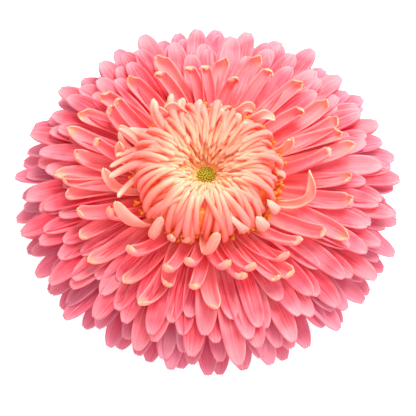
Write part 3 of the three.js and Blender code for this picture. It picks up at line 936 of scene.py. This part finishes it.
def bend_quill(spine, width):
    """A copy of the tube, swelled to a quill's outline and bent along its spine."""
    quill = copy_of(quill_blank)
    tone = shade_draw(1)
    rows = {}
    for index, vertex in enumerate(quill.data.vertices):
        x, y, row = vertex.co
        key = round(row, ROW_DIGITS)
        if key not in rows:
            share, full = quill_outline(row)
            rows[key] = (share, full * width / 2, *spine.station(share))
        share, half, centre, across, face, _ = rows[key]
        raised = QUILL_SECTION["deep"] * y - QUILL_SECTION["sunk"]
        vertex.co = in_bloom(centre + across * (half * QUILL_SECTION["wide"] * x) + face * (half * raised))
        mark_traits(quill.data, index, share, x, tone)
    return quill


def spiral_quills(rule, spread, first_turn, draw):
    """Quills a golden angle apart, youngest next to the eye, their draws taken in the solid model's order.

    The outer ones at the front stand further out, and hang lower over the rays.
    """
    florets = []
    for number in range(rule["florets"]):
        share = math.sqrt((number + 0.5) / rule["florets"])
        tip_radius = along(rule["tip_radius"], share) + share * draw(spread["reach"])
        tip_height = along(rule["tip_height"], share) + draw(spread["height"])
        tip_slope = along(rule["tip_slope"], share) + draw(spread["slope"])
        turn = first_turn + number * GOLDEN_ANGLE + draw(spread["turn"])
        sweep = draw(spread["sweep"])
        width = along(rule["width"], share) * (1 + draw(spread["width"]))
        front = share * max(0, -math.sin(math.radians(turn))) ** 2
        root = (
            along(rule["root_radius"], share) + FRONT_QUILLS["reach"] * front,
            along(rule["root_height"], share) - FRONT_QUILLS["drop"] * front,
        )
        handles = (along(rule["root_handle"], share), along(rule["tip_handle"], share))
        root_slope = along(rule["root_slope"], share)
        spine = Spine(root, (tip_radius, tip_height), root_slope, tip_slope, handles, turn, sweep)
        florets.append(bend_quill(spine, width))
    return florets


def standing_quills(rule, draw):
    """Blunt quills at the rear and the left that lean out over the cushion's edge."""
    florets = []
    for number in range(rule["places"]):
        turn = number * GOLDEN_ANGLE
        drawn = {trait: middle + draw(spread) for trait, (middle, spread) in rule["drawn"].items()}
        if math.cos(math.radians(turn - rule["middle"])) < math.cos(math.radians(rule["half_span"])):
            continue
        left = max(0, -math.cos(math.radians(turn)))
        root = (drawn["root_radius"], drawn["root_height"])
        tip = (
            drawn["tip_radius"] + rule["left_reach"] * left,
            drawn["tip_height"] - rule["left_drop"] * left,
        )
        span = (Vector(tip) - Vector(root)).length
        handles = [share * span for share in rule["handles"]]
        spine = Spine(root, tip, drawn["root_slope"], drawn["tip_slope"], handles, turn, drawn["sweep"])
        florets.append(bend_quill(spine, drawn["width"]))
    return florets


def axis_distance(tree):
    """Distance from the bloom's axis in millimetres."""
    place = add_node(tree, "TexCoord", {}, "Object")
    centred = add_node(tree, "VectorMath", {0: place, 1: (axis_x, axis_y, 0)}, operation="SUBTRACT")
    flat = add_node(tree, "VectorMath", {0: centred, 1: (1 / MM, 1 / MM, 0)}, operation="MULTIPLY")
    return add_node(tree, "VectorMath", {0: flat}, "Value", operation="LENGTH")


def quill_skin(name):
    """A quill's skin: yellow by the eye, cream over the cushion and coral at its foot, the foot deepened by
    painted shade, with sides darkened to coral as painted shade and a cream tip brightened by a painted
    highlight.
    """
    material, tree = bare_material(name)
    veins = vein_noise(tree, QUILL_LANES)
    length, tone = trait_of(tree, "along"), trait_of(tree, "tone")
    distance = mapped(tree, axis_distance(tree), (0, CUSHION_RADIUS), (0, 1))
    colour = colour_ramp(tree, distance, seen_stops(QUILL_COLOURS))
    # Painted shade on each quill's sides, stronger further from the eye.
    side = maths(tree, "ABSOLUTE", trait_of(tree, "across"))
    side = maths(tree, "MULTIPLY", side, mapped(tree, distance, *QUILL_SIDE_SHADE))
    measures = {"foot": length, "blush": tone, "veins": veins, "sides": side, "tip": length}
    for where, (tint, band, onto) in QUILL_TINTS_AND_PAINTED_SHADE.items():
        colour = tinted(tree, colour, tint, mapped(tree, measures[where], band, onto))
    thin_tissue(tree, colour, veins, **QUILL_SEE_THROUGH_AND_PAINTED_GLOW)
    return material


def receptacle_skin():
    """Pitted orange between the quills, yellower towards the eye."""
    material, tree = bare_material("orange_receptacle")
    pits = cloudy(tree, CORE_PITS)
    colour = colour_ramp(tree, pits, seen_stops(CORE_COLOURS))
    near_eye = mapped(tree, axis_distance(tree), CORE_BY_EYE["distance"], (1, 0))
    colour = tinted(tree, colour, CORE_BY_EYE["colour"], near_eye)
    thin_tissue(tree, colour, pits, **CORE_SEE_THROUGH_AND_PAINTED_GLOW)
    return material


quill_blank = quill_blank_tube(*QUILL_GRID)
quills = spiral_quills(QUILLS, QUILL_SPREAD, 0, draws_from(QUILL_SEED))
quills += spiral_quills(FINE_QUILLS, FINE_SPREAD, FINE_TURN, draws_from(FINE_SEED))
quills += standing_quills(STANDING_QUILLS, draws_from(STANDING_SEED))
quills = join_pieces("quilled_cushion", quills)
bpy.ops.object.shade_smooth()
bpy.data.objects.remove(quill_blank)
dress(quills, "quilled_florets", quill_skin("cream_coral_quill"))
dress(lathe_ring("receptacle_core", QUILL_CORE, CORE_SIDES), "quilled_florets", receptacle_skin())


# Curled florets: pale florets round the cushion's edge, half quill and half strap, that stand up, roll over
# or reach back towards the eye and look silvery. One is curled up and back like a sickle.
CURLED_ROOT = (13.2, 18.1)
CURLED_OUTLINE = {"claw": 0.3, "widest": 0.7, "taper": 2.8}
CURLED_ROLL = [(0, 30), (0.45, 62), (0.8, 70), (1, 60)]
CURLED_RELIEF = {"groove": 0.2, "wave": 0.7, "notch": 1.4}
CURLED_FLORETS = [
    dict(turn=334, sweep=24, twist=70, slopes=(-14, 128), tip=(24.2, 22.0), handles=(8, 7), width=3.0),
    dict(turn=17, sweep=4, twist=60, slopes=(4, 84), tip=(21.4, 22.4), handles=(6, 3), width=3.2),
    dict(turn=353, sweep=4, twist=0, slopes=(10, 168), tip=(16.0, 22.4), handles=(7, 4), width=2.6),
    dict(turn=326, sweep=2, twist=0, slopes=(2, 158), tip=(16.8, 22.6), handles=(9, 5), width=3.2),
    dict(turn=313, sweep=-2, twist=0, slopes=(0, 150), tip=(17.8, 22.8), handles=(10, 5), width=3.9),
    dict(turn=302, sweep=-10, twist=10, slopes=(10, 176), tip=(14.8, 24.0), handles=(8, 6), width=2.6),
    dict(turn=267, sweep=12, twist=0, slopes=(0, 122), tip=(19.2, 25.2), handles=(12, 6), width=3.2),
    dict(turn=251, sweep=8, twist=0, slopes=(0, 130), tip=(18.4, 21.0), handles=(6, 3), width=2.4),
    dict(turn=242, sweep=6, twist=0, slopes=(-4, 120), tip=(19.6, 21.6), handles=(6, 3), width=2.6),
    dict(turn=233, sweep=3, twist=15, slopes=(0, 126), tip=(18.0, 25.2), handles=(13, 6), width=3.0),
    dict(turn=229, sweep=-23, twist=75, slopes=(-4, 84), tip=(23.4, 24.2), handles=(10, 5), width=4.8),
    dict(turn=198, sweep=-17, twist=-45, slopes=(0, 76), tip=(24.0, 22.4), handles=(7, 4), width=3.0),
    dict(turn=182, sweep=-10, twist=35, slopes=(6, 128), tip=(16.8, 23.4), handles=(7, 3), width=2.0),
    dict(turn=173, sweep=-9, twist=-55, slopes=(4, 96), tip=(21.0, 24.0), handles=(8, 4), width=3.0),
    dict(turn=158, sweep=-4, twist=0, slopes=(50, -10), tip=(22.8, 23.2), handles=(7, 4), width=2.8),
    dict(turn=121, sweep=12, twist=-60, slopes=(62, -80), tip=(18.0, 21.6), handles=(7, 4), width=3.2),
    dict(turn=102, sweep=22, twist=-60, slopes=(64, -30), tip=(17.6, 24.0), handles=(7, 4), width=3.2),
    dict(turn=69, sweep=-17, twist=60, slopes=(64, -60), tip=(18.6, 22.4), handles=(7, 4), width=3.2),
    dict(turn=53, sweep=-15, twist=60, slopes=(58, -60), tip=(20.6, 21.4), handles=(7, 4), width=3.2),
]
CURLED_PETAL = {
    "length": [
        (0, (250, 124, 88)), (0.45, (252, 142, 126)), (0.8, (251, 162, 150)), (0.92, (250, 182, 160)),
        (1, (248, 204, 160)),
    ],
    "veins": (250, 132, 118),
    "pale": (253, 188, 178),
    # The rim is partly the paler margin and partly a painted highlight.
    "rim": (253, 192, 174),
    "margin_and_highlight_share": 0.35,
    "see_through": 0.24,
    # Painted glow that warms the curled florets' shade.
    "painted_glow": (255, 90, 60),
    "glow_strength": 0.04,
}

curled_blades = []
for floret in CURLED_FLORETS:
    curve = (*floret["slopes"], floret["handles"], floret["turn"], floret["sweep"], floret["twist"])
    form = (floret["width"], CURLED_OUTLINE, CURLED_ROLL, CURLED_RELIEF)
    curled_spine = Spine(CURLED_ROOT, floret["tip"], *curve)
    curled_blades.append(bend_blade(ray_blank, curled_spine, *form, floret["turn"], shade_draw(1)))
curled = join_pieces("curled_rim_florets", curled_blades)
thicken(curled, RAY_THICKNESS)
bpy.data.objects.remove(ray_blank)
dress(curled, "quilled_florets", petal_skin("silvery_pink_curl", CURLED_PETAL))


# Disc florets: small orange-yellow tubes crowded on the receptacle's shoulder, seen in the gaps between the
# cushion and the rays. Each is a short cone that opens upwards and leans outwards.
DISC_SEED = 911
DISC_FLORETS = {"count": 400, "radius": (14.2, 17.6), "height": (15.6, 19.0), "lean": (40, 25)}
DISC_TUBE = {"sides": 5, "foot": 0.21, "mouth": 0.42, "length": 1.6}
POLLEN_COLOURS = [(0.35, (216, 88, 22)), (0.65, (246, 160, 48))]
POLLEN_GRAIN = 1400
# The disc florets' glow is painted light that warms their shade.
POLLEN_SEE_THROUGH_AND_PAINTED_GLOW = {"see_through": 0.15, "painted_glow": (255, 130, 20), "glow_strength": 0.1}


def pollen_skin():
    material, tree = bare_material("pollen_orange")
    grain = cloudy(tree, POLLEN_GRAIN)
    thin_tissue(tree, colour_ramp(tree, grain, seen_stops(POLLEN_COLOURS)), grain, **POLLEN_SEE_THROUGH_AND_PAINTED_GLOW)
    return material


start_piece()
bpy.ops.mesh.primitive_cone_add(
    vertices=DISC_TUBE["sides"],
    radius1=DISC_TUBE["foot"],
    radius2=DISC_TUBE["mouth"],
    depth=DISC_TUBE["length"],
    end_fill_type="TRIFAN",
    location=(0, 0, DISC_TUBE["length"] / 2),
)
disc_blank = bpy.context.object
bpy.ops.object.transform_apply(location=True)
disc_draw = draws_from(DISC_SEED)
disc_florets = []
for number in range(DISC_FLORETS["count"]):
    turn = math.radians(number * GOLDEN_ANGLE)
    reach = between(*DISC_FLORETS["radius"], 0.5 + disc_draw(0.5))
    height = between(*DISC_FLORETS["height"], 0.5 + disc_draw(0.5))
    lean_angle, lean_spread = DISC_FLORETS["lean"]
    lean_angle += disc_draw(lean_spread)
    lean = Quaternion((-math.sin(turn), math.cos(turn), 0), math.radians(lean_angle))
    foot = Vector((reach * math.cos(turn), reach * math.sin(turn), height))
    disc_florets.append(copy_of(disc_blank))
    for vertex in disc_florets[-1].data.vertices:
        vertex.co = in_bloom(lean @ vertex.co + foot)
bpy.data.objects.remove(disc_blank)
disc_florets = join_pieces("disc_florets", disc_florets)
bpy.ops.object.shade_smooth()
dress(disc_florets, "quilled_florets", pollen_skin())


# Eye: the youngest florets, still closed green buds packed in a spiral on the tip of the receptacle, which
# is a low dome. Each bud is a small ball.
EYE = {"radius": 2.6, "height": 16.9, "crown": 1.0, "fall": 0.6, "buds": 50, "bud_radius": 0.34}
EYE_DOME = [(NEAR_AXIS, 16.8), (2.1, 16.8), (1.7, 17.4), (NEAR_AXIS, 17.8)]
DOME_SIDES = 24
BUD_GRID = (8, 6)
EYE_GREENS = ((164, 126, 6), (150, 158, 14))
EYE_MOTTLE = 900

start_piece()
bud_sides, bud_rings = BUD_GRID
bpy.ops.mesh.primitive_uv_sphere_add(segments=bud_sides, ring_count=bud_rings, radius=EYE["bud_radius"] * MM)
bud_blank = bpy.context.object
buds = []
for number in range(EYE["buds"]):
    share = math.sqrt((number + 0.5) / EYE["buds"])
    turn = math.radians(number * GOLDEN_ANGLE)
    radius = (EYE["radius"] - EYE["bud_radius"]) * share
    height = EYE["height"] + EYE["crown"] * (1 - EYE["fall"] * share * share)
    buds.append(copy_of(bud_blank))
    buds[-1].location = in_bloom(Vector((radius * math.cos(turn), radius * math.sin(turn), height)))
    bpy.ops.object.transform_apply(location=True)
eye = join_pieces("eye_buds", [*buds, lathe_ring("eye_dome", EYE_DOME, DOME_SIDES)])
bpy.ops.object.shade_smooth()
bpy.data.objects.remove(bud_blank)
eye_shades = [seen(*levels) for levels in EYE_GREENS]
dress(eye, "eye", leafy_green("eye_green", eye_shades, EYE_MOTTLE, sheen=0))


# Floor and light: a plain white floor, even white light all round, a soft warm lamp behind on the right and
# a weak one in front.
FLOOR_SIZE = 3
FLOOR_PAINT = {
    "Base Color": (0.92, 0.92, 0.92, 1),
    "Roughness": 0.9,
    "Emission Color": (1, 1, 1, 1),
    "Emission Strength": 0.6,
}
ROOM_LIGHT = 0.77
LAMPS = [
    dict(name="rear_lamp", place=(0.18, 0.34, 0.46), size=0.35, power=7.2, colour=(1, 0.93, 0.85)),
    dict(name="front_fill", place=(0.12, -0.4, 0.42), size=0.5, power=1.3, colour=(1, 1, 1)),
]
LAMP_AIM = Vector((0, 0, 0.015))

start_piece()
bpy.ops.mesh.primitive_plane_add(size=FLOOR_SIZE)
floor = bpy.context.object
floor.name = "floor"
white, white_tree = bare_material("white_floor")
finish_surface(white_tree, add_node(white_tree, "BsdfPrincipled", FLOOR_PAINT))
floor.data.materials.append(white)

room = bpy.data.worlds.new("white_room")
room.use_nodes = True
room.node_tree.nodes["Background"].inputs["Color"].default_value = (1, 1, 1, 1)
room.node_tree.nodes["Background"].inputs["Strength"].default_value = ROOM_LIGHT
bpy.context.scene.world = room

for lamp_rule in LAMPS:
    bpy.ops.object.light_add(type="AREA", location=lamp_rule["place"])
    lamp = bpy.context.object
    lamp.name = lamp_rule["name"]
    lamp.data.shape = "SQUARE"
    lamp.data.size = lamp_rule["size"]
    lamp.data.energy = lamp_rule["power"]
    lamp.data.color = lamp_rule["colour"]
    lamp.rotation_euler = (LAMP_AIM - lamp.location).to_track_quat("-Z", "Y").to_euler()


# Camera: a long lens that looks down on the bloom from the front, as in the photograph, where the eye is at
# EYE_PIXEL and a pixel spans PIXEL.
PIXEL = 0.235 * MM
IMAGE_WIDTH = 416
EYE_PIXEL = (206, 176)
EYE_HEIGHT = 17.3 * MM
ELEVATION = math.radians(62.5)
DISTANCE = 0.6

view_forward = Vector((0, math.cos(ELEVATION), -math.sin(ELEVATION)))
view_up = Vector((0, math.sin(ELEVATION), math.cos(ELEVATION)))
view_right = Vector((1, 0, 0))
aim = Vector((axis_x, axis_y, EYE_HEIGHT))
aim += view_right * (IMAGE_WIDTH / 2 - EYE_PIXEL[0]) * PIXEL
aim += view_up * (EYE_PIXEL[1] - IMAGE_WIDTH / 2) * PIXEL
bpy.ops.object.camera_add(location=aim - view_forward * DISTANCE)
camera = bpy.context.object
camera.rotation_euler = view_forward.to_track_quat("-Z", "Y").to_euler()
camera.data.lens = camera.data.sensor_width * DISTANCE / (IMAGE_WIDTH * PIXEL)
bpy.context.scene.camera = camera
bpy.context.scene.view_settings.view_transform = "Standard"
